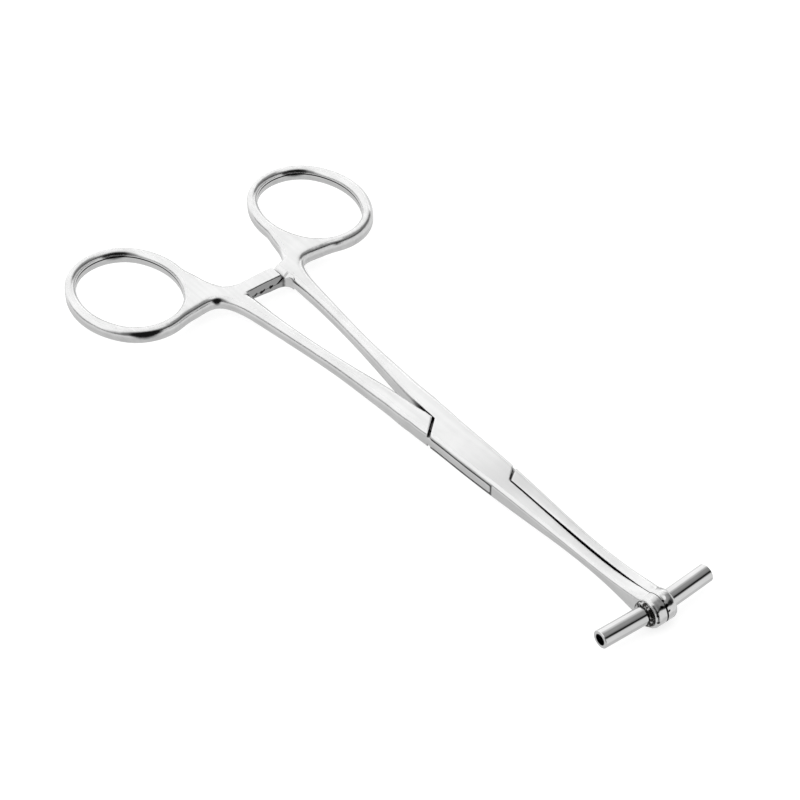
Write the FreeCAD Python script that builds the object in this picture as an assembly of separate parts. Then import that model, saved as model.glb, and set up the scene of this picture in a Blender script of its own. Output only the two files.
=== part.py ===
# Piercing forceps: two box-locked steel halves with finger rings, a ratchet
# and a guide tube brazed through the eye at the tip of each jaw.
#
# Frame, in millimetres: the origin is where the two guide tubes meet, on the
# parting plane X = 0. +X runs along the tubes, +Y from the tips to the finger
# rings, +Z up out of the flat of the forceps. Each half crosses over in the
# lock: the female half has its ring on +X and its jaw on -X, and the male half
# the other way round. Both are drawn with the ring on +X; the male one is then
# mirrored.
import FreeCAD, Part
import math
import os

Vector = FreeCAD.Vector

# Layout along the instrument
PIVOT_Y = 57.0
LOCK_HALF_LENGTH = 11.95
LOCK_JAW_LENGTH = 12.6
LOCK_TO_SHANK = 3.05
SHANK_LENGTH = 51.0
ARM_LENGTH = 24.7

# Finger rings
RING_X = 26.0
RING_HOLE_WIDTH = 22.7
RING_HOLE_LENGTH = 28.4
RING_WALL = 2.7
RING_WALL_TOP = 2.45
RING_WALL_BOTTOM = 2.8
RING_THICKNESS = 3.6
# End radius of the ring's ovals as a share of their half width, and where the arm leaves the ring
OVAL_END = 0.9
RING_START = 181.0
RING_END = -106.0

# Rounding of the long edges, and of the shanks' inner edges where they meet
SHANK_ROUND = 1.1
APEX_ROUND = 0.12
# The shank's end stands proud of the arm by this step, too fine to see
JOIN_STEP = 0.02

# Box lock
LOCK_THICKNESS = 4.2
LOCK_ROUND = 0.9
SEAM_ANGLE = 40.5
SHOULDER_GAP = 0.7
SHOULDER_GAP_JAW = 0.15
TONGUE_THICKNESS = 2.4
TONGUE_CLEARANCE = 0.08
TONGUE_END_ANGLE = 29.5
TONGUE_RELIEF = 0.25
TONGUE_FLAT_HALF_WIDTH = 2.6
POCKET_CLEARANCE = 0.25
PIN_DIAMETER = 2.8
PIN_CLEARANCE = 0.04

# Jaws
JAW_THICKNESS = 2.3
JAW_ROUND = 0.55
JAW_FLARE = 6.2
JAW_RELIEF = 0.36
PARTING_GAP = 0.16
CLAMP_LENGTH = 4.0

# Tip eyes and the guide tubes brazed into them
EYE_RADIUS = 3.4
EYE_WIDTH = 2.8
EYE_ROUND = 0.6
TUBE_DIAMETER = 4.0
TUBE_BORE = 2.55
TUBE_REACH = 14.5
TUBE_TILT = 2.9
TUBE_LIP = 0.12
BRAZE_GAP = 0.03
BEAD_SIZE = 0.4

# Ratchet bars, curved about the pivot, their front at this distance short of the rings' centres.
# The male half carries the upper one.
BAR_OFFSET = 18.1
BAR_WIDTH = 3.9
BAR_REACH = 4.1
BAR_CHAMFER = 0.18
BAR_PARTING_Z = -0.3
BAR_CLEARANCE = 0.08
BAR_TAPER = 0.7
BAR_BACK_ROUND = 4.0
FRONT_ROUND_LOWER = 3.0
FRONT_ROUND_UPPER = 0.8
TOOTH_PITCH = 2.35
TOOTH_DEPTH = 0.42
TOOTH_WIDTH = 0.85
TOOTH_FIRST_X = -3.45
TOOTH_COUNT = 3
RAMP_START = 2.6
RAMP_ANGLE = 38.0
RAMP_GAP = 0.6

# Half width of the closed pair, by share of the way from tips to shanks
OUTER_WIDTHS = (
    (0.0, EYE_WIDTH), (0.035, EYE_WIDTH), (0.07, 2.83), (0.12, 2.79), (0.175, 2.75), (0.25, 2.73),
    (0.375, 2.92), (0.5, 3.3), (0.6, 3.6), (0.68, 3.88), (0.79, 4.12), (0.917, 4.35), (1.0, 4.58),
)
# Inner and outer edge of a shank, by share of its length
SHANK_EDGES = (
    (0.0, 0.25, 4.58), (0.12, 0.72, 4.84), (0.24, 1.33, 5.11), (0.35, 2.08, 5.4), (0.47, 2.9, 5.76),
    (0.59, 3.63, 6.34), (0.71, 4.28, 7.05), (0.82, 4.8, 7.75), (0.92, 5.15, 8.4), (1.0, 5.3, 8.96),
)
# Corners of the arm between shank and ring, as X and distance short of the ring's centre
NECK_POINTS = ((10.35, 18.9), (12.7, 15.75), (17.2, 15.65))
WEB_POINTS = ((11.25, 4.5), (9.9, 9.9), (7.6, 14.1), (5.75, 19.1))

# Shares of the way from tips to shanks where the jaws are thinnest and the lock begins
JAW_THIN_SHARE = 0.25
LOCK_SHARE = 0.68

SHANK_START_Y = PIVOT_Y + LOCK_HALF_LENGTH + LOCK_TO_SHANK
SHANK_END_Y = SHANK_START_Y + SHANK_LENGTH
RING_Y = SHANK_END_Y + ARM_LENGTH
BAR_FRONT = RING_Y - BAR_OFFSET - PIVOT_Y
BAR_BACK = BAR_FRONT + BAR_WIDTH
HALF_LOCK = LOCK_THICKNESS / 2
HALF_RING = RING_THICKNESS / 2
HALF_TONGUE = TONGUE_THICKNESS / 2
HALF_GAP = PARTING_GAP / 2
# Reach of a cut that has to pass right through a piece
FAR = 12.0


def at(x, y, z=0.0):
    return Vector(x, y, z)


def spline(points, first, last):
    """Curve through the points that leaves and arrives in the given directions."""
    curve = Part.BSplineCurve()
    curve.interpolate(Points=points, InitialTangent=first, FinalTangent=last)
    return curve.toShape()


def chain(points):
    """Straight lines from point to point."""
    return [Part.makeLine(a, b) for a, b in zip(points, points[1:])]


def prism(edges, way):
    """Solid swept straight from a closed flat outline."""
    return Part.Face(Part.Wire(Part.__sortEdges__(edges))).extrude(way)


def plate(edges, low, high):
    """Flat plate over a plan outline, from Z = low to Z = high."""
    solid = prism(edges, at(0, 0, high - low))
    solid.translate(at(0, 0, low))
    return solid


def mirrored(shape):
    """The same shape on the other side of the parting plane."""
    return shape.mirror(at(0, 0), at(1, 0))


def rim_edges(solid, test):
    """Edges of a solid whose bounding box passes the test."""
    return [edge for edge in solid.Edges if test(edge.BoundBox)]


def slanted(x, length, angle):
    """Y of a line across the lock, length from the pivot, that rises with X at the angle."""
    return PIVOT_Y + length + x * math.tan(math.radians(angle))


def section(y, left, right, half, round_left, round_right):
    """Rounded cross-section of a bar that lies along Y, from left to right."""
    corners = (
        (right - round_right, round_right - half, round_right, -90),
        (right - round_right, half - round_right, round_right, 0),
        (left + round_left, half - round_left, round_left, 90),
        (left + round_left, round_left - half, round_left, 180),
    )
    arcs = []
    for x, z, radius, start in corners:
        turn = [math.radians(start + step) for step in (0, 45, 90)]
        arcs.append([at(x + radius * math.cos(a), y, z + radius * math.sin(a)) for a in turn])
    edges = []
    for arc, following in zip(arcs, arcs[1:] + arcs[:1]):
        edges.append(Part.Arc(*arc).toShape())
        edges.append(Part.makeLine(arc[2], following[0]))
    return Part.Wire(edges)


def half_thickness(share):
    """Half thickness by share of the way from tips to shanks: flare, thin jaw, lock."""
    thin = JAW_THICKNESS / 2
    if share < JAW_THIN_SHARE:
        return thin + (JAW_FLARE / 2 - thin) * (1 - share / JAW_THIN_SHARE) ** 2.1
    t = min((share - JAW_THIN_SHARE) / (LOCK_SHARE - JAW_THIN_SHARE), 1)
    return thin + (HALF_LOCK - thin) * t * t * (3 - 2 * t)


def edge_round(share):
    """Edge rounding by share of the way from tips to shanks."""
    t = (share - JAW_THIN_SHARE) / (LOCK_SHARE - JAW_THIN_SHARE)
    return JAW_ROUND + (LOCK_ROUND - JAW_ROUND) * min(max(t, 0), 1)


def lock_and_jaw_billet():
    """Middle of the closed pair, both halves in one, from the tips to the shanks."""
    sections = []
    for share, width in OUTER_WIDTHS:
        half = half_thickness(share)
        sections.append(section(share * SHANK_START_Y, -width, width, half, edge_round(share), edge_round(share)))
    return Part.makeLoft(sections, True, False)


def shank():
    """Right-hand shank, from the lock to the ratchet."""
    sections = []
    for share, inner, outer in SHANK_EDGES:
        near_lock = (1 - share) ** 3
        half = HALF_RING + (HALF_LOCK - HALF_RING) * near_lock
        round_out = SHANK_ROUND + (LOCK_ROUND - SHANK_ROUND) * near_lock
        round_in = APEX_ROUND + (SHANK_ROUND - APEX_ROUND) * min(1.6 * share, 1)
        y = SHANK_START_Y + share * SHANK_LENGTH
        step = JOIN_STEP * share ** 3
        sections.append(section(y, inner - step, outer + step, half + step, round_in, round_out))
    return Part.makeLoft(sections, True, False)


def oval_arc(centre, radius, first, last):
    """Arc from one angle to the other, in degrees."""
    turn = [math.radians(a) for a in (first, (first + last) / 2, last)]
    return Part.Arc(*[centre + at(radius * math.cos(a), radius * math.sin(a)) for a in turn]).toShape()


def oval(centre, half_x, half_y, first=180.0, last=-180.0):
    """Oval of four arcs, long along Y, drawn clockwise from one angle round to the other."""
    end = OVAL_END * half_x
    side = (half_x ** 2 + (half_y - end) ** 2 - end ** 2) / (2 * (half_x - end))
    join = math.degrees(math.atan2(half_y - end, side - half_x))
    above, below = centre + at(0, half_y - end), centre - at(0, half_y - end)
    left, right = centre + at(side - half_x, 0), centre - at(side - half_x, 0)
    arcs = [oval_arc(left, side, first, 180 - join), oval_arc(above, end, 180 - join, join),
            oval_arc(right, side, join, -join)]
    if last > join - 180:
        return arcs + [oval_arc(below, end, -join, last)]
    return arcs + [oval_arc(below, end, -join, join - 180), oval_arc(left, side, join - 180, last)]


def ring_and_arm():
    """Right-hand finger ring with the arm that joins it to the shank."""
    half_x = RING_HOLE_WIDTH / 2 + RING_WALL
    half_y = (RING_HOLE_LENGTH + RING_WALL_TOP + RING_WALL_BOTTOM) / 2
    centre = at(RING_X, RING_Y + (RING_WALL_TOP - RING_WALL_BOTTOM) / 2)
    ring_edges = oval(centre, half_x, half_y, RING_START, RING_END)
    side = ring_edges[0].Vertexes[0].Point
    low = ring_edges[-1].Vertexes[-1].Point
    side_way, low_way = [at(-math.sin(a), math.cos(a)) for a in map(math.radians, (RING_START, RING_END))]
    root_in = at(SHANK_EDGES[-1][1], SHANK_END_Y)
    root_out = at(SHANK_EDGES[-1][2], SHANK_END_Y)
    neck_points = [at(x, RING_Y - short) for x, short in NECK_POINTS]
    web_points = [at(x, RING_Y - short) for x, short in WEB_POINTS]
    neck = spline([root_out] + neck_points + [low], at(0.17, 1), low_way)
    web = spline([side] + web_points + [root_in], side_way, at(-0.03, -1))
    wire = Part.Wire(Part.__sortEdges__([neck, web, Part.makeLine(root_in, root_out)] + ring_edges))
    hole = Part.Wire(oval(at(RING_X, RING_Y), RING_HOLE_WIDTH / 2, RING_HOLE_LENGTH / 2))
    solid = Part.Face([wire, hole]).extrude(at(0, 0, RING_THICKNESS))
    solid.translate(at(0, 0, -HALF_RING))
    rims = rim_edges(solid, lambda box: box.ZLength < 0.01 and box.YMax > SHANK_END_Y + 0.1)
    return solid.makeFillet(SHANK_ROUND, rims)


def half_plan(end_angle):
    """Plan area of a half; it ends at a slanted line at each end of the lock."""
    corner_jaw = at(-HALF_GAP / 2, slanted(-HALF_GAP / 2, -LOCK_JAW_LENGTH, end_angle))
    corner_shank = at(HALF_GAP, slanted(HALF_GAP, LOCK_HALF_LENGTH, end_angle))
    clamp_end = at(-HALF_GAP, CLAMP_LENGTH)
    # The jaws touch only at the eyes: behind them the gap opens and closes again
    relief = [
        clamp_end,
        at(-0.72 * JAW_RELIEF, 2.25 * CLAMP_LENGTH),
        at(-JAW_RELIEF, 0.3 * PIVOT_Y),
        at(-0.86 * JAW_RELIEF, 0.49 * PIVOT_Y),
        at(-0.47 * JAW_RELIEF, 0.67 * PIVOT_Y),
        corner_jaw,
    ]
    left = [
        corner_shank,
        at(-FAR, slanted(-FAR, LOCK_HALF_LENGTH, end_angle)),
        at(-FAR, -FAR),
        at(-HALF_GAP, -FAR),
        clamp_end,
    ]
    right = [
        corner_jaw,
        at(FAR, slanted(FAR, -LOCK_JAW_LENGTH, end_angle)),
        at(FAR, SHANK_START_Y),
        at(SHANK_EDGES[0][1], SHANK_START_Y),
        corner_shank,
    ]
    return plate(chain(left) + chain(right) + [spline(relief, at(0, 1), at(0.03, 1))], -FAR, FAR)


def eye():
    """Round eye at the tip of the left jaw, its outer rim eased in two steps."""
    wide, face, ease = EYE_RADIUS, EYE_WIDTH, EYE_ROUND
    corners = [
        at(-HALF_GAP, 0), at(-HALF_GAP, wide), at(ease - face, wide), at(0.3 * ease - face, wide - 0.3 * ease),
        at(-face, wide - ease), at(-face, 0), at(-HALF_GAP, 0),
    ]
    return Part.Face(Part.Wire(chain(corners))).revolve(at(0, 0), at(1, 0), 360)


def tube_bore():
    """Hole through the left eye that takes the guide tube."""
    tilt = math.radians(TUBE_TILT)
    way = at(-math.cos(tilt), math.sin(tilt))
    return Part.makeCylinder(TUBE_DIAMETER / 2 + BRAZE_GAP, 2 * EYE_RADIUS, way * -EYE_RADIUS, way)


def braze_bead():
    """Fillet of brazing metal round the right-hand tube, drawn along +X."""
    root = TUBE_DIAMETER / 2 - TUBE_LIP
    crest = TUBE_DIAMETER / 2 + BEAD_SIZE
    foot = EYE_WIDTH - BEAD_SIZE
    top = EYE_WIDTH + 1.4 * BEAD_SIZE
    middle = at(EYE_WIDTH + 0.85 * BEAD_SIZE, TUBE_DIAMETER / 2 + 0.7 * BEAD_SIZE)
    corners = [at(foot, root), at(foot, crest), at(EYE_WIDTH, crest), middle, at(top, root), at(foot, root)]
    return Part.Face(Part.Wire(chain(corners))).revolve(at(0, 0), at(1, 0), 360)


def guide_tube():
    """Right-hand guide tube with its bead, flush with the face where the tips meet."""
    length = TUBE_REACH + EYE_RADIUS
    body = Part.makeCylinder(TUBE_DIAMETER / 2, length, at(-EYE_RADIUS, 0), at(1, 0))
    lip = rim_edges(body, lambda box: box.XMin > TUBE_REACH - 0.01)
    bead = braze_bead()
    bead.rotate(at(0, 0), at(0, 0, 1), TUBE_TILT)
    bead = bead.common(Part.makeBox(FAR, FAR, FAR, at(EYE_WIDTH, -FAR / 2, -FAR / 2)))
    body = body.makeChamfer(TUBE_LIP, lip)
    body.rotate(at(0, 0), at(0, 0, 1), TUBE_TILT)
    bore = Part.makeCylinder(TUBE_BORE / 2, 2 * length, at(-length, 0), at(1, 0))
    bore.rotate(at(0, 0), at(0, 0, 1), TUBE_TILT)
    outside = Part.makeBox(2 * length, 2 * FAR, 2 * FAR, at(HALF_GAP, -FAR, -FAR))
    return body.common(outside).fuse(bead).cut(bore)


def bar_y(radius, x):
    """Y of a circle about the pivot at x."""
    return PIVOT_Y + math.sqrt(radius ** 2 - x ** 2)


def bar_block(front_round):
    """Right-hand ratchet bar before its face is cut, rooted inside the arm."""
    arm_x = WEB_POINTS[3][0]
    back_root = arm_x + 0.8 - BAR_BACK_ROUND / 2
    front_root = arm_x - front_round
    back = [at(x, bar_y(BAR_BACK, x)) for x in (-BAR_REACH, 0, back_root)]
    front = [at(x, bar_y(BAR_FRONT, x)) for x in (-BAR_REACH, 0, front_root)]
    web_end = at(WEB_POINTS[1][0] + SHANK_ROUND, RING_Y - WEB_POINTS[1][1] - 0.7)
    shank_edge = at(arm_x - 0.02 * front_round ** 2, front[2].y - 0.95 * front_round)
    edges = [
        Part.Arc(*back).toShape(),
        spline([back[2], web_end], at(back[2].y - PIVOT_Y, -back_root), at(0.6, 0.8)),
        spline([shank_edge, front[2]], at(0, 1), at(PIVOT_Y - front[2].y, front_root)),
        Part.Arc(*front).toShape(),
    ]
    inside = arm_x + 1.5 * SHANK_ROUND
    edges += chain([web_end, at(web_end.x, bar_y(BAR_BACK, 0) - 1), at(inside, front[2].y), shank_edge])
    edges += chain([front[0], back[0]])
    block = plate(edges, -HALF_RING, HALF_RING)
    return block.makeChamfer(BAR_CHAMFER, rim_edges(block, lambda box: box.ZLength < 0.01))


def facing_cut(side, root_x):
    """Room for the other bar: above this one (side 1) or below it (side -1), to a ramp at its root."""
    face = BAR_PARTING_Z - side * BAR_CLEARANCE / 2
    rise = side * FAR * math.tan(math.radians(RAMP_ANGLE))
    y = bar_y(BAR_FRONT, 0) - 0.65 * BAR_WIDTH
    corners = [
        at(-FAR, y, face), at(root_x, y, face), at(root_x + FAR, y, face + rise),
        at(-FAR, y, face + rise), at(-FAR, y, face),
    ]
    return prism(chain(corners), at(0, 2 * BAR_WIDTH))


def tooth_gap(x, side):
    """Radial notch between two teeth, steep on its -X wall so that the bars catch."""
    face = BAR_PARTING_Z - side * BAR_CLEARANCE / 2
    y = bar_y(BAR_FRONT, 0) - 0.3 * BAR_WIDTH
    half = TOOTH_WIDTH / 2
    over = face + side * TOOTH_DEPTH
    corners = [
        at(-half, y, over), at(-half, y, face - side * TOOTH_DEPTH), at(half, y, face),
        at(half, y, over), at(-half, y, over),
    ]
    gap = prism(chain(corners), at(0, 1.5 * BAR_WIDTH))
    gap.rotate(at(0, PIVOT_Y), at(0, 0, 1), -math.degrees(x / (BAR_FRONT + BAR_WIDTH / 2)))
    return gap


def tooth_places():
    return [TOOTH_FIRST_X + index * TOOTH_PITCH for index in range(TOOTH_COUNT)]


def lower_bar_cuts():
    """What is cut from the female half to shape its bar, which lies below."""
    end = -FAR
    rise = BAR_TAPER * (FAR + RAMP_START) / (BAR_REACH + RAMP_START)
    y = bar_y(BAR_FRONT, 0) - BAR_WIDTH
    corners = [at(RAMP_START, y, -HALF_RING), at(end, y, rise - HALF_RING), at(end, y, -FAR),
               at(RAMP_START, y, -FAR), at(RAMP_START, y, -HALF_RING)]
    taper = prism(chain(corners), at(0, 3 * BAR_WIDTH))
    return [facing_cut(1, RAMP_START + RAMP_GAP), taper] + [tooth_gap(x, 1) for x in tooth_places()]


def upper_bar_cuts():
    """What is cut from the male half to shape its bar, which lies above and ends in a ramp."""
    face = BAR_PARTING_Z + BAR_CLEARANCE / 2
    rise = (FAR - RAMP_START) * math.tan(math.radians(RAMP_ANGLE))
    y = bar_y(BAR_FRONT, 0) - BAR_WIDTH
    corners = [at(-RAMP_START, y, face), at(-FAR, y, face + rise), at(-FAR, y, face), at(-RAMP_START, y, face)]
    ramp = prism(chain(corners), at(0, 3 * BAR_WIDTH))
    return [facing_cut(-1, BAR_REACH + RAMP_GAP), ramp] + [tooth_gap(-x, -1) for x in tooth_places()]


def forged_half(end_angle, front_round):
    """One half before its lock and its bar are cut: shank, ring and bar on +X, jaw on -X."""
    body = lock_and_jaw_billet().common(half_plan(end_angle))
    body = body.fuse([shank(), ring_and_arm(), eye(), bar_block(front_round)])
    return body.cut(tube_bore()).removeSplitter()


def lock_slot():
    """Slot through the female lock in which the male half's tongue turns."""
    half = HALF_TONGUE + TONGUE_CLEARANCE
    near = LOCK_HALF_LENGTH + POCKET_CLEARANCE
    jaw = LOCK_JAW_LENGTH + POCKET_CLEARANCE
    points = [
        at(0, slanted(0, near, 0)),
        at(FAR, slanted(FAR, near, -TONGUE_END_ANGLE)),
        at(FAR, slanted(0, -jaw, 0)),
        at(0, slanted(0, -jaw, 0)),
        at(-FAR, slanted(-FAR, -jaw, -TONGUE_END_ANGLE)),
        at(-FAR, slanted(0, near, 0)),
        at(0, slanted(0, near, 0)),
    ]
    return plate(chain(points), -half, half)


def pin_hole(radius):
    return Part.makeCylinder(radius, LOCK_THICKNESS * 2, at(0, PIVOT_Y, -LOCK_THICKNESS))


def shoulder_cuts():
    """Room above and below the male tongue for the female lock plates; its flanks are thinner."""
    near = LOCK_HALF_LENGTH + SHOULDER_GAP / math.cos(math.radians(SEAM_ANGLE))
    jaw = LOCK_JAW_LENGTH + SHOULDER_GAP_JAW
    points = [
        at(-FAR, slanted(-FAR, near, -SEAM_ANGLE)),
        at(FAR, slanted(FAR, near, -SEAM_ANGLE)),
        at(FAR, slanted(FAR, -jaw, -TONGUE_END_ANGLE)),
        at(-FAR, slanted(-FAR, -jaw, -TONGUE_END_ANGLE)),
        at(-FAR, slanted(-FAR, near, -SEAM_ANGLE)),
    ]
    middle = Part.makeBox(2 * TONGUE_FLAT_HALF_WIDTH, 8 * FAR, 2 * FAR, at(-TONGUE_FLAT_HALF_WIDTH, 0, -FAR))
    above = plate(chain(points), HALF_TONGUE - TONGUE_RELIEF, FAR)
    above = above.cut(middle).fuse(plate(chain(points), HALF_TONGUE, FAR)).removeSplitter()
    return [above, above.mirror(at(0, 0), at(0, 0, 1))]


def female_half():
    """Half with the slotted lock and the lower ratchet bar."""
    body = forged_half(SEAM_ANGLE, FRONT_ROUND_LOWER)
    return body.cut([lock_slot(), pin_hole(PIN_DIAMETER / 2)] + lower_bar_cuts())


def male_half():
    """Half with the tongue through the lock and the upper ratchet bar."""
    body = forged_half(TONGUE_END_ANGLE, FRONT_ROUND_UPPER)
    bearing = pin_hole(PIN_DIAMETER / 2 + PIN_CLEARANCE)
    return mirrored(body.cut(shoulder_cuts() + [bearing] + upper_bar_cuts()))


def box_lock_pin():
    """Pin pressed into the lock plates and ground flush with them."""
    return Part.makeCylinder(PIN_DIAMETER / 2, LOCK_THICKNESS, at(0, PIVOT_Y, -HALF_LOCK))


def save(name, shape):
    solid = shape.Solids[0] if len(shape.Solids) == 1 else shape
    solid.exportStep("parts/" + name + ".step")
    print(name, solid.isValid(), len(shape.Solids), len(solid.Faces), round(solid.Volume, 1))


os.makedirs("parts", exist_ok=True)
save("female_half", female_half())
save("male_half", male_half())
save("box_lock_pin", box_lock_pin())
save("guide_tube_right", guide_tube())
save("guide_tube_left", mirrored(guide_tube()))
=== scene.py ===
"""Piercing forceps of polished stainless steel, lying closed just above a white studio floor."""

import math

import bmesh
import bpy
from mathutils import Matrix, Vector, noise


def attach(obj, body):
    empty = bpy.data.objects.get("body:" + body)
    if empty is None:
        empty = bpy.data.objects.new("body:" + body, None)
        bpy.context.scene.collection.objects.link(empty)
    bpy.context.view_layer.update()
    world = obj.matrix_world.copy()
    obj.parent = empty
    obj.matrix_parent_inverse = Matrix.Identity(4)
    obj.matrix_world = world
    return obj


MM = 0.001

# Camera: as the photograph was taken, from the left of the tips and above
CAMERA_AZIMUTH = -38.9568
CAMERA_ELEVATION = 41.7492
CAMERA_DISTANCE = 458.15 * MM
CAMERA_NEAREST = 10 * MM
FOCAL_PIXELS = 2309.64
PICTURE_SIZE = 800
TIP_PIXEL = (656.32, 607.77)
SENSOR = 36.0

# Zones of the studio: direction as azimuth from +X and elevation in degrees, and the cosines of the angle
# from that direction at which the zone begins and is full
OVERHEAD = (0, 90)
SHADED_HIGH = (OVERHEAD, 0.66, 0.86)
BRIGHT_SCREEN = ((115, 22), 0.14, 0.60)
LAMP_GLARE = ((33, 14), 0.94, 0.985)
CEILING = (OVERHEAD, 0.90, 0.935)
TABLE_SIDE = ((-35, 0), 0.1, 0.45)
TABLE_TOP = (OVERHEAD, 0.42, 0.28)
TABLE_BELOW = (OVERHEAD, -0.14, -0.26)
UNDER_TABLE = (OVERHEAD, -0.45, -0.62)
# Oval zones of the studio: azimuth, elevation, half width and half height in degrees
DARK_EDGE = (-70, 34, 42, 8)
HORIZON = (150, 0, 40, 9)
DARK_ROOM = (-115, 16, 31, 56)
# Soft borders of an oval: by the squared share of its half sizes, and between its front and its back
OVAL_BORDER = (1.35, 0.65)
OVAL_FRONT = (-0.15, 0.15)
# Level of each zone in the steel, and of the background behind the object
SHADED_LOW_LEVEL = 0.26
SHADED_LEVEL = 0.42
BRIGHT_LEVEL = 1.42
GLARE_LEVEL = 1.9
CEILING_LEVEL = 1.3
TABLE_LEVEL = 1.0
UNDER_LEVEL = 0.77
HORIZON_LEVEL = 0.3
DARK_LEVEL = 0.012
BACKGROUND_LEVEL = 1.0

# Floor: a little below the lowest parts, the eyes
FLOOR_DROP = 3.5 * MM
FLOOR_CENTRE_Y = 80 * MM
FLOOR_RADIUS = 2.5
FLOOR_SIDES = 96
FLOOR_GREY = 0.4
FLOOR_GLOW = 0.83
FLOOR_ROUGHNESS = 0.9

# Places on the forceps
TUBE_TILT = 2.9
PIVOT_Y = 57 * MM
RING_X = 26 * MM
RING_Y = 147.7 * MM
RING_HOLE_HALF_WIDTH = 11.35 * MM
RING_HOLE_HALF_LENGTH = 14.2 * MM
LOCK_START_Y = 45.9 * MM
LOCK_END_Y = 66.6 * MM
SEAM_HEIGHT = 1.25 * MM
BAR_FACE_Y = 129.6 * MM

# Eased edges: the radius at the eyes' parting, on the eyes and at the ratchet bars, and where each comes in
PARTING_EASE = 0.1 * MM
EYE_EASE = 1.5 * MM
EYE_EASE_ASIDE = (0.9 * MM, 2.0 * MM)
BAR_EASE = 0.2 * MM
BAR_EASE_ASIDE = (7 * MM, 4.5 * MM)
BAR_EASE_ALONG = (125 * MM, 128 * MM)
# Then of the jaws, the lock, and the shanks with their rings: radius, and the stretch of y where it comes in
EASE_ALONG = (
    (0.8 * MM, 3 * MM, 8 * MM),
    (0.5 * MM, 42 * MM, 46 * MM),
    (1.9 * MM, 68 * MM, 76 * MM),
)
# The pin is ground flush: round it nothing is eased
FLUSH_ROUND_PIN = (2.2 * MM, 3.2 * MM)
EASE_SAMPLES = 16

# Painted shade as near-black spots for pits on the eyes, at the roots of the ratchet teeth and in the lock's
# far seam: centre and radius in mm
EYE_PIT_SHADES = (
    (-2.8, -2.95, 1.7, 0.48), (-2.6, -3.4, 0.0, 0.5), (0.1, -1.45, 3.1, 0.38),
    (0.3, -2.4, 2.4, 0.52), (0.5, -3.1, 1.45, 0.38), (-0.9, -2.2, 2.6, 0.38),
)
TOOTH_PIT_SHADES = ((-4.4, 129.6, -0.55, 0.52), (-1.74, 129.6, -0.4, 0.55), (0.91, 129.6, -0.2, 0.55))
SEAM_PIT_SHADES = (
    (0.3, 44.5, 2.05, 0.36), (0.65, 44.78, 2.05, 0.4), (1.05, 45.08, 2.05, 0.42),
    (1.5, 45.38, 2.05, 0.42), (1.95, 45.65, 2.05, 0.36),
)
PIT_CORE = 0.55
PIT_WOBBLE = 0.5 * MM
PIT_WOBBLE_SCALE = 900.0
PIT_WOBBLE_DETAIL = 2.0

# Dark lines, each as centre, edge and core: painted shade in the lock's seams and at the end of its slot, and
# a painted dark reflection line inside each ring
SEAM_SHADE_LINE = (SEAM_HEIGHT, 0.19 * MM, 0.12 * MM)
SLOT_END_SHADE_LINE = (LOCK_START_Y + 0.15 * MM, 0.22 * MM, 0.12 * MM)
RING_REFLECTION_LINE = (0.45 * MM, 0.26 * MM, 0.10 * MM)
# Where they run: each border is given as where it begins and where it is full
SEAM_ALONG = ((LOCK_START_Y - 0.1 * MM, LOCK_START_Y), (LOCK_END_Y, LOCK_END_Y - 0.5 * MM))
SLOT_END_HEIGHT = (1.3 * MM, 1.2 * MM)
# The lock's painted shade lines are on its flanks only, by the upright part of the surface's direction
FLANK_SLOPE = (0.6, 0.3)
# The painted dark reflection line is inside a ring, by the squared share of its hole's half width and half
# length
RING_INSIDE = (1.10, 1.05)
# Painted shade along the parting of the jaws, and of the eyes at their front
JAW_PARTING_ALONG = ((18 * MM, 26 * MM), (44.5 * MM, 44 * MM))
EYE_PARTING_ALONG = (-1.6 * MM, -2.4 * MM)
PARTING_ASIDE = (0.27 * MM, 0.17 * MM)
# Front faces of the ratchet bars, with a painted darker reflection
BAR_FACE_ALONG = (
    (BAR_FACE_Y + 0.35 * MM, BAR_FACE_Y + 0.15 * MM),
    (BAR_FACE_Y - 0.6 * MM, BAR_FACE_Y - 0.4 * MM),
)
BAR_FACE_ASIDE = (6.2 * MM, 5.6 * MM)

# Steel: tones as shares of its colour, from the dark to the light end of the grain where there are two
ROUND_TONES = (0.74, 1.26)
FLAT_TONES = (0.92, 1.48)
# Painted shade: the steel's darker tone in its crevices
CREVICE_SHADE_TONE = 0.5
# Painted darker reflection on the ratchet bars' front faces
BAR_FACE_REFLECTION_TONE = 0.6
# Near-black of the painted shade in crevices, pits, seams and the parting, and of the painted dark reflection
# line in each ring
PAINTED_SHADE_GREY = 0.004
# Polishing lines and soft clouds
LINE_DETAIL = 4.0
CLOUD_SCALE = 160.0
CLOUD_DETAIL = 3.0
LINE_DEPTH = 0.04 * MM
LINE_SPREAD = (0.3, 0.7)
LINE_ROUGHNESS = (0.75, 1.3)
BUMP_STRENGTH = 0.5
# The flats are brushed, so part of their light comes back from all sides
FLAT_SLOPE = (0.96, 0.995)
BRUSHED_METAL = 0.55
# Painted shade: an evenly grey stretch from the jaws to the lock
SHADE_STRETCH_ALONG = ((57 * MM, 46 * MM), (34 * MM, 44 * MM))
SHADE_STRETCH_SHARE = 0.75
# How open a crevice is where painted shade darkens its steel, and where that shade is painted near-black
CREVICE_REACH = 1.6 * MM
CREVICE_SAMPLES = 8
CREVICE_SHADE_RANGE = (0.80, 0.50)
CREVICE_BLACK_SHADE = (0.64, 0.42)
# Unevenly ground surface, deep on the eyes and shallow beyond them
GROUND_SCALE = 330.0
GROUND_DETAIL = 1.0
GROUND_DEPTHS = (1.1 * MM, 0.05 * MM)
GROUND_ALONG = (2 * MM, 9 * MM)

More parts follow.
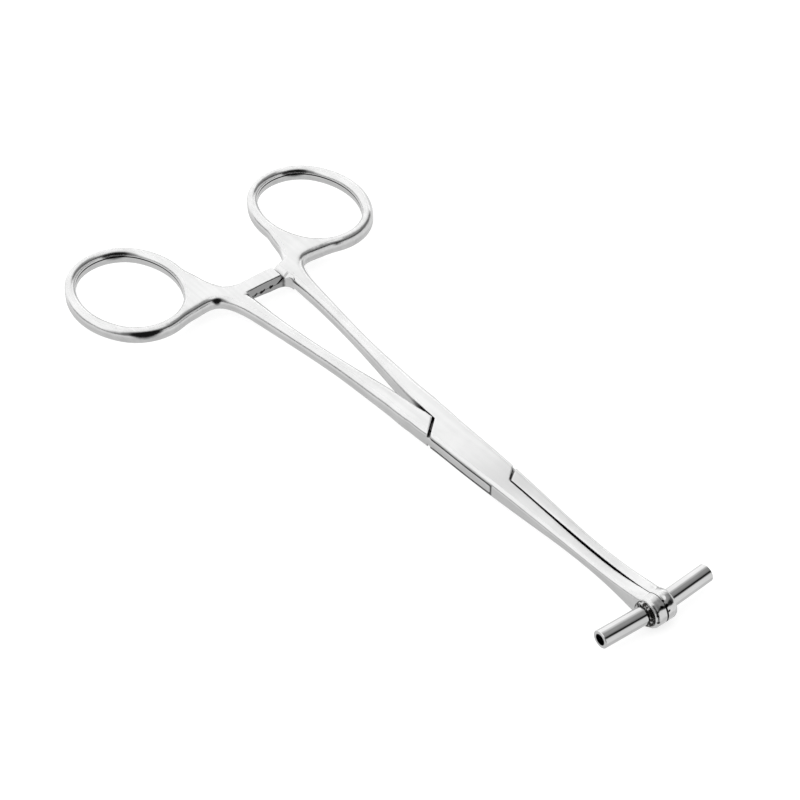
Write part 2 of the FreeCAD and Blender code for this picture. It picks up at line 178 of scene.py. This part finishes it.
# Braze: near-black painted as the dark reflection and shade round the tubes' roots, bright flecks, and how
# far each is polished
BRAZE_PAINTED_DARK = (0.035, 0.033, 0.032, 1)
FLECK_GREY = 0.55
FLECK_SCALE = 1500.0
FLECK_DETAIL = 3.0
FLECK_BORDER = (0.50, 0.66)
FLECK_ROUGHNESS = (0.45, 0.18)
FLECK_BUMP = 0.9
FLECK_DEPTH = 0.15 * MM
# Collar of braze: sides of its section and of its round, and its lumps
SECTION_SIDES = 14
COLLAR_STEPS = 72
COARSE_LUMP = 0.9 * MM
FINE_LUMP = 0.4 * MM
FINE_LUMP_SHARE = 0.5
LUMP_SHIFT = 4
LUMP_OUTWARD = 0.8
LUMP_ASIDE = 0.6


class Wires:
    """Node tree with short calls that add a node, set or link its inputs and give its output."""

    def __init__(self, tree):
        self.nodes = tree.nodes
        self.links = tree.links

    def put(self, socket, value):
        if isinstance(value, bpy.types.NodeSocket):
            self.links.new(value, socket)
        else:
            socket.default_value = value

    def add(self, kind, **inputs):
        node = self.nodes.new("ShaderNode" + kind)
        for name, value in inputs.items():
            self.put(node.inputs[name.replace("_", " ")], value)
        return node

    def operate(self, kind, operation, values):
        node = self.nodes.new("ShaderNode" + kind)
        node.operation = operation
        for socket, value in zip(node.inputs, values):
            self.put(socket, value)
        return node

    def calc(self, operation, *values):
        return self.operate("Math", operation, values).outputs[0]

    def vector(self, operation, *values):
        return self.operate("VectorMath", operation, values)

    def both(self, first, second):
        """1 where both masks are 1; with a share as the second, the mask is weakened to it."""
        return self.calc("MULTIPLY", first, second)

    def either(self, first, second):
        return self.calc("MAXIMUM", first, second)

    def squares(self, first, second):
        """Sum of the two values' squares."""
        return self.calc("ADD", self.calc("MULTIPLY", first, first), self.calc("MULTIPLY", second, second))

    def ramp(self, value, low, high):
        """0 to 1 as the value goes from low to high, with soft ends."""
        node = self.add("MapRange", From_Min=low, From_Max=high)
        node.interpolation_type = "SMOOTHSTEP"
        self.links.new(value, node.inputs["Value"])
        return node.outputs["Result"]

    def between(self, value, start, end):
        """1 where the value is inside both borders."""
        return self.both(self.ramp(value, *start), self.ramp(value, *end))

    def line(self, value, centre, edge, core):
        """1 on a thin line at the centre, out to its core, and 0 past its edge."""
        return self.ramp(self.calc("ABSOLUTE", self.calc("SUBTRACT", value, centre)), edge, core)

    def mix(self, kind, first, second, share):
        """Blend of two levels (FLOAT) or colours (RGBA)."""
        node = self.nodes.new("ShaderNodeMix")
        node.data_type = kind
        ends = [socket for socket in node.inputs if socket.enabled and socket.name in "AB"]
        self.put(ends[0], first)
        self.put(ends[1], second)
        self.put(node.inputs[0], share)
        return next(socket for socket in node.outputs if socket.enabled)

    def axes(self, vector):
        split = self.add("SeparateXYZ", Vector=vector)
        return [split.outputs[name] for name in "XYZ"]

    def toward(self, way, azimuth, elevation):
        """Cosine of the angle between a direction and the given one."""
        a, e = math.radians(azimuth), math.radians(elevation)
        aim = (math.cos(a) * math.cos(e), math.sin(a) * math.cos(e), math.sin(e))
        return self.vector("DOT_PRODUCT", way, aim).outputs["Value"]

    def oval(self, way, azimuth, elevation, half_width, half_height):
        """1 inside an oval patch of directions, 0 outside."""
        turn = self.add("VectorRotate", Vector=way)
        turn.rotation_type = "Z_AXIS"
        turn.inputs["Angle"].default_value = -math.radians(azimuth)
        ahead, aside, height = self.axes(turn.outputs["Vector"])
        low, high = [math.sin(math.radians(elevation + step)) for step in (-half_height, half_height)]
        wide = self.calc("DIVIDE", aside, math.sin(math.radians(half_width)))
        tall = self.calc("DIVIDE", self.calc("SUBTRACT", height, (low + high) / 2), (high - low) / 2)
        return self.both(self.ramp(self.squares(wide, tall), *OVAL_BORDER), self.ramp(ahead, *OVAL_FRONT))


def material_wires(name):
    """New material with its wires and its shader."""
    material = bpy.data.materials.new(name)
    material.use_nodes = True
    return material, Wires(material.node_tree), material.node_tree.nodes["Principled BSDF"]


def grey(level):
    return (level, level, level, 1)


def grey_pair(colour, shares):
    return [grey(colour * share) for share in shares]


def studio():
    """Light tent: bright behind the object, shaded at its right, dark at its open front."""
    world = bpy.data.worlds.new("studio")
    bpy.context.scene.world = world
    world.use_nodes = True
    wires = Wires(world.node_tree)
    wires.nodes.clear()
    way = wires.add("TexCoord").outputs["Generated"]

    def zone(side, begins, full):
        return wires.ramp(wires.toward(way, *side), begins, full)

    # Each is laid over those before it
    layers = (
        (SHADED_LEVEL, zone(*SHADED_HIGH)),
        (BRIGHT_LEVEL, zone(*BRIGHT_SCREEN)),
        (GLARE_LEVEL, zone(*LAMP_GLARE)),
        (CEILING_LEVEL, zone(*CEILING)),
        (TABLE_LEVEL, wires.both(zone(*TABLE_SIDE), zone(*TABLE_TOP))),
        (DARK_LEVEL, wires.oval(way, *DARK_EDGE)),
        (TABLE_LEVEL, zone(*TABLE_BELOW)),
        (UNDER_LEVEL, zone(*UNDER_TABLE)),
        (HORIZON_LEVEL, wires.oval(way, *HORIZON)),
        (DARK_LEVEL, wires.oval(way, *DARK_ROOM)),
        (BACKGROUND_LEVEL, wires.add("LightPath").outputs["Is Camera Ray"]),
    )
    level = SHADED_LOW_LEVEL
    for strength, mask in layers:
        level = wires.mix("FLOAT", level, strength, mask)
    background = wires.add("Background", Color=grey(1), Strength=level)
    wires.add("OutputWorld", Surface=background.outputs["Background"])


def edge_ease(wires, x, y):
    """How far the polishing wheel rounded the edges: most on the shanks and rings, hardly at the seams."""
    aside = wires.calc("ABSOLUTE", x)
    ease = wires.mix("FLOAT", PARTING_EASE, EYE_EASE, wires.ramp(aside, *EYE_EASE_ASIDE))
    for radius, start, full in EASE_ALONG:
        ease = wires.mix("FLOAT", ease, radius, wires.ramp(y, start, full))
    from_pin = wires.calc("SQRT", wires.squares(x, wires.calc("SUBTRACT", y, PIVOT_Y)))
    ease = wires.mix("FLOAT", 0.0, ease, wires.ramp(from_pin, *FLUSH_ROUND_PIN))
    at_bars = wires.both(wires.ramp(aside, *BAR_EASE_ASIDE), wires.ramp(y, *BAR_EASE_ALONG))
    return wires.mix("FLOAT", ease, BAR_EASE, at_bars)


def near_places(wires, place, spots):
    """1 within any of the given round spots, 0 outside."""
    found = 0.0
    for *centre, radius in spots:
        away = wires.vector("DISTANCE", place, Vector(centre) * MM).outputs["Value"]
        found = wires.either(found, wires.ramp(away, radius * MM, radius * PIT_CORE * MM))
    return found


def uneven_place(wires, place):
    """Place shifted a little to and fro, so that what is drawn there has an uneven outline."""
    wobble = wires.add("TexNoise", Vector=place, Scale=PIT_WOBBLE_SCALE, Detail=PIT_WOBBLE_DETAIL)
    shifted = wires.vector("MULTIPLY_ADD", wobble.outputs["Color"], [PIT_WOBBLE] * 3, place)
    return wires.vector("SUBTRACT", shifted.outputs["Vector"], [PIT_WOBBLE / 2] * 3).outputs["Vector"]


def painted_shade_marks(wires, place, x, y, z, upward):
    """Painted near-black shade in pits, seams and the parting; a painted dark reflection line in each ring.
    """
    aside, rise = wires.calc("ABSOLUTE", x), wires.calc("ABSOLUTE", z)
    dark = wires.either(near_places(wires, uneven_place(wires, place), EYE_PIT_SHADES),
                        near_places(wires, place, TOOTH_PIT_SHADES + SEAM_PIT_SHADES))
    flank = wires.ramp(upward, *FLANK_SLOPE)
    seams = wires.both(wires.between(y, *SEAM_ALONG), wires.line(rise, *SEAM_SHADE_LINE))
    slot_end = wires.both(wires.line(y, *SLOT_END_SHADE_LINE), wires.ramp(rise, *SLOT_END_HEIGHT))
    dark = wires.either(dark, wires.both(wires.either(seams, slot_end), flank))
    parting = wires.either(wires.between(y, *JAW_PARTING_ALONG), wires.ramp(y, *EYE_PARTING_ALONG))
    dark = wires.either(dark, wires.both(parting, wires.ramp(aside, *PARTING_ASIDE)))
    wide = wires.calc("DIVIDE", wires.calc("SUBTRACT", aside, RING_X), RING_HOLE_HALF_WIDTH)
    tall = wires.calc("DIVIDE", wires.calc("SUBTRACT", y, RING_Y), RING_HOLE_HALF_LENGTH)
    inside = wires.ramp(wires.squares(wide, tall), *RING_INSIDE)
    # A painted dark reflection line round the inside of each ring
    return wires.either(dark, wires.both(inside, wires.line(z, *RING_REFLECTION_LINE)))


def bar_face_dark_reflection(wires, x, y):
    """1 on the ratchet bars' front faces, where a darker reflection is painted."""
    across = wires.ramp(wires.calc("ABSOLUTE", x), *BAR_FACE_ASIDE)
    return wires.both(wires.between(y, *BAR_FACE_ALONG), across)


def polished_steel(name, colour, roughness, grain_way, forged):
    """Stainless steel polished along its length: fine lines, soft clouds, painted shade in the crevices."""
    material, wires, shader = material_wires(name)
    shader.inputs["Metallic"].default_value = 1.0
    place = wires.add("TexCoord").outputs["Object"]
    stretch = wires.add("Mapping", Vector=place, Scale=grain_way).outputs["Vector"]
    lines = wires.add("TexNoise", Vector=stretch, Scale=1.0, Detail=LINE_DETAIL).outputs["Fac"]
    clouds = wires.add("TexNoise", Vector=place, Scale=CLOUD_SCALE, Detail=CLOUD_DETAIL).outputs["Fac"]
    marks = wires.calc("MULTIPLY", wires.calc("ADD", clouds, lines), 0.5)
    tone = wires.mix("RGBA", *grey_pair(colour, ROUND_TONES), marks)
    crevice = wires.add("AmbientOcclusion", Distance=CREVICE_REACH)
    crevice.samples = CREVICE_SAMPLES
    openness = crevice.outputs["AO"]
    # Painted shade in the crevices: darker steel, near-black where they are tight
    tone = wires.mix("RGBA", tone, grey(colour * CREVICE_SHADE_TONE), wires.ramp(openness, *CREVICE_SHADE_RANGE))
    scale = wires.ramp(openness, *CREVICE_BLACK_SHADE)
    bump = wires.add("Bump", Height=lines, Strength=BUMP_STRENGTH, Distance=LINE_DEPTH)
    if forged:
        x, y, z = wires.axes(place)
        upward = wires.calc("ABSOLUTE", wires.axes(wires.add("NewGeometry").outputs["Normal"])[2])
        brushed = wires.ramp(upward, *FLAT_SLOPE)
        wires.put(shader.inputs["Metallic"], wires.mix("FLOAT", 1.0, BRUSHED_METAL, brushed))
        tone = wires.mix("RGBA", tone, wires.mix("RGBA", *grey_pair(colour, FLAT_TONES), marks), brushed)
        # Painted shade: an evenly grey stretch from the jaws to the lock
        painted_shade_stretch = wires.both(wires.between(y, *SHADE_STRETCH_ALONG), SHADE_STRETCH_SHARE)
        tone = wires.mix("RGBA", tone, grey(colour), painted_shade_stretch)
        # Painted darker reflection on the ratchet bars' front faces
        tone = wires.mix("RGBA", tone, grey(colour * BAR_FACE_REFLECTION_TONE), bar_face_dark_reflection(wires, x, y))
        # Painted shade in pits, seams and the parting, and the painted dark reflection line in each ring
        scale = wires.either(scale, painted_shade_marks(wires, place, x, y, z, upward))
        ease = wires.add("Bevel", Radius=edge_ease(wires, x, y))
        ease.samples = EASE_SAMPLES
        hills = wires.add("TexNoise", Vector=place, Scale=GROUND_SCALE, Detail=GROUND_DETAIL).outputs["Fac"]
        depth = wires.mix("FLOAT", *GROUND_DEPTHS, wires.ramp(y, *GROUND_ALONG))
        ground = wires.add("Bump", Height=hills, Strength=BUMP_STRENGTH, Distance=depth,
                           Normal=ease.outputs["Normal"])
        wires.put(bump.inputs["Normal"], ground.outputs["Normal"])
    # The painted shade, near-black, laid over the steel's tone
    wires.put(shader.inputs["Base Color"], wires.mix("RGBA", tone, grey(PAINTED_SHADE_GREY), scale))
    smoothest, roughest = [roughness * share for share in LINE_ROUGHNESS]
    sheen = wires.add("MapRange", Value=lines, From_Min=LINE_SPREAD[0], From_Max=LINE_SPREAD[1],
                      To_Min=smoothest, To_Max=roughest)
    wires.put(shader.inputs["Roughness"], sheen.outputs["Result"])
    wires.put(shader.inputs["Normal"], bump.outputs["Normal"])
    return material


def braze_painted_dark():
    """Brazing metal left unpolished: near-black painted as shade round the tubes' roots, with bright flecks.
    """
    material, wires, shader = material_wires("braze_painted_dark")
    shader.inputs["Metallic"].default_value = 1.0
    place = wires.add("TexCoord").outputs["Object"]
    flecks = wires.add("TexNoise", Vector=place, Scale=FLECK_SCALE, Detail=FLECK_DETAIL).outputs["Fac"]
    # The near-black is painted shade and dark reflection round the tubes' roots
    tone = wires.mix("RGBA", BRAZE_PAINTED_DARK, grey(FLECK_GREY), wires.ramp(flecks, *FLECK_BORDER))
    wires.put(shader.inputs["Base Color"], tone)
    rough = wires.add("MapRange", Value=flecks, To_Min=FLECK_ROUGHNESS[0], To_Max=FLECK_ROUGHNESS[1])
    wires.put(shader.inputs["Roughness"], rough.outputs["Result"])
    bump = wires.add("Bump", Height=flecks, Strength=FLECK_BUMP, Distance=FLECK_DEPTH)
    wires.put(shader.inputs["Normal"], bump.outputs["Normal"])
    return material


def new_piece(name, form, material):
    """Object at the origin that has the form as its mesh, in one finish."""
    mesh = bpy.data.meshes.new(name)
    form.to_mesh(mesh)
    form.free()
    mesh.materials.append(material)
    piece = bpy.data.objects.new(name, mesh)
    bpy.context.scene.collection.objects.link(piece)
    return piece


def braze_collar(name, side, seat, radius, thick, wide, unevenness):
    """Uneven collar of braze round a guide tube, where the tube leaves its eye."""
    form = bmesh.new()
    bmesh.ops.create_circle(form, segments=SECTION_SIDES, radius=1.0)
    bmesh.ops.scale(form, vec=(wide, thick, 1), verts=form.verts)
    bmesh.ops.translate(form, vec=(0, radius, 0), verts=form.verts)
    bmesh.ops.spin(form, geom=form.verts[:] + form.edges[:], cent=(0, 0, 0), axis=(1, 0, 0),
                   angle=math.tau, steps=COLLAR_STEPS, use_merge=True)
    bmesh.ops.recalc_face_normals(form, faces=form.faces)
    for vert in form.verts:
        out = Vector((0, vert.co.y, vert.co.z)).normalized()
        lump = noise.noise(vert.co / COARSE_LUMP + Vector((side, 0, LUMP_SHIFT)))
        lump += FINE_LUMP_SHARE * noise.noise(vert.co / FINE_LUMP)
        vert.co += (out * LUMP_OUTWARD + Vector((side * LUMP_ASIDE, 0, 0))) * lump * unevenness
    tilt = Matrix.Rotation(side * math.radians(TUBE_TILT), 4, "Z")
    bmesh.ops.transform(form, matrix=tilt @ Matrix.Translation((side * seat, 0, 0)), verts=form.verts)
    for face in form.faces:
        face.smooth = True
    return new_piece(name, form, BRAZE)


def floor():
    """White floor just below the object, for a soft shadow; the steel mirrors the studio's table instead."""
    material, wires, shader = material_wires("studio_floor_white")
    shader.inputs["Base Color"].default_value = grey(FLOOR_GREY)
    shader.inputs["Roughness"].default_value = FLOOR_ROUGHNESS
    shader.inputs["Specular IOR Level"].default_value = 0.0
    shader.inputs["Emission Color"].default_value = grey(1)
    seen = wires.add("LightPath").outputs["Is Camera Ray"]
    wires.put(shader.inputs["Emission Strength"], wires.calc("MULTIPLY", seen, FLOOR_GLOW))
    form = bmesh.new()
    bmesh.ops.create_circle(form, cap_ends=True, segments=FLOOR_SIDES, radius=FLOOR_RADIUS)
    bmesh.ops.translate(form, vec=(0, FLOOR_CENTRE_Y, -FLOOR_DROP), verts=form.verts)
    piece = new_piece("studio_floor", form, material)
    piece.visible_glossy = False


def camera():
    """Long lens at the photograph's angle, set off so that the tips come to their place in the picture."""
    a, e = math.radians(CAMERA_AZIMUTH), math.radians(CAMERA_ELEVATION)
    back = Vector((math.sin(a) * math.cos(e), -math.cos(a) * math.cos(e), math.sin(e)))
    right = Vector((math.cos(a), math.sin(a), 0))
    up = back.cross(right)
    data = bpy.data.cameras.new("camera")
    data.sensor_width = SENSOR
    data.lens = FOCAL_PIXELS / PICTURE_SIZE * SENSOR
    data.clip_start = CAMERA_NEAREST
    half = PICTURE_SIZE / 2
    aside = (half - TIP_PIXEL[0]) / FOCAL_PIXELS * CAMERA_DISTANCE
    above = (TIP_PIXEL[1] - half) / FOCAL_PIXELS * CAMERA_DISTANCE
    eye = bpy.data.objects.new("camera", data)
    bpy.context.scene.collection.objects.link(eye)
    place = back * CAMERA_DISTANCE + right * aside + up * above
    basis = Matrix((right, up, back)).transposed().to_4x4()
    eye.matrix_world = Matrix.Translation(place) @ basis
    bpy.context.scene.camera = eye


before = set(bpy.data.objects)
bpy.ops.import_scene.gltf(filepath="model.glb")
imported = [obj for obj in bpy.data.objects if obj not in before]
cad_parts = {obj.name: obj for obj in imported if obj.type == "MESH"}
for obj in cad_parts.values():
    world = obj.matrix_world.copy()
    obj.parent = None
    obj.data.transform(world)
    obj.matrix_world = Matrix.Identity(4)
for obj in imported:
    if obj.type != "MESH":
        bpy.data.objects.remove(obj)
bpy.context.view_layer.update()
bpy.context.scene.view_settings.view_transform = "Standard"

FORGED = polished_steel("polished_forging", colour=0.62, roughness=0.10,
                        grain_way=(900, 45, 900), forged=True)
DRAWN = polished_steel("polished_tube", colour=0.60, roughness=0.09,
                       grain_way=(60, 900, 900), forged=False)
for name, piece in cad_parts.items():
    finish = DRAWN if name.startswith("guide_tube") else FORGED
    for slot in piece.material_slots:
        slot.material = finish

BRAZE = braze_painted_dark()
near_collar = braze_collar("braze_collar_left", side=-1, seat=3.0 * MM, radius=2.3 * MM,
                           thick=0.5 * MM, wide=0.5 * MM, unevenness=0.22 * MM)
far_collar = braze_collar("braze_collar_right", side=1, seat=2.95 * MM, radius=2.12 * MM,
                          thick=0.26 * MM, wide=0.3 * MM, unevenness=0.06 * MM)
for collar, body in ((near_collar, "female"), (far_collar, "male")):
    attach(collar, body)

floor()
studio()
camera()
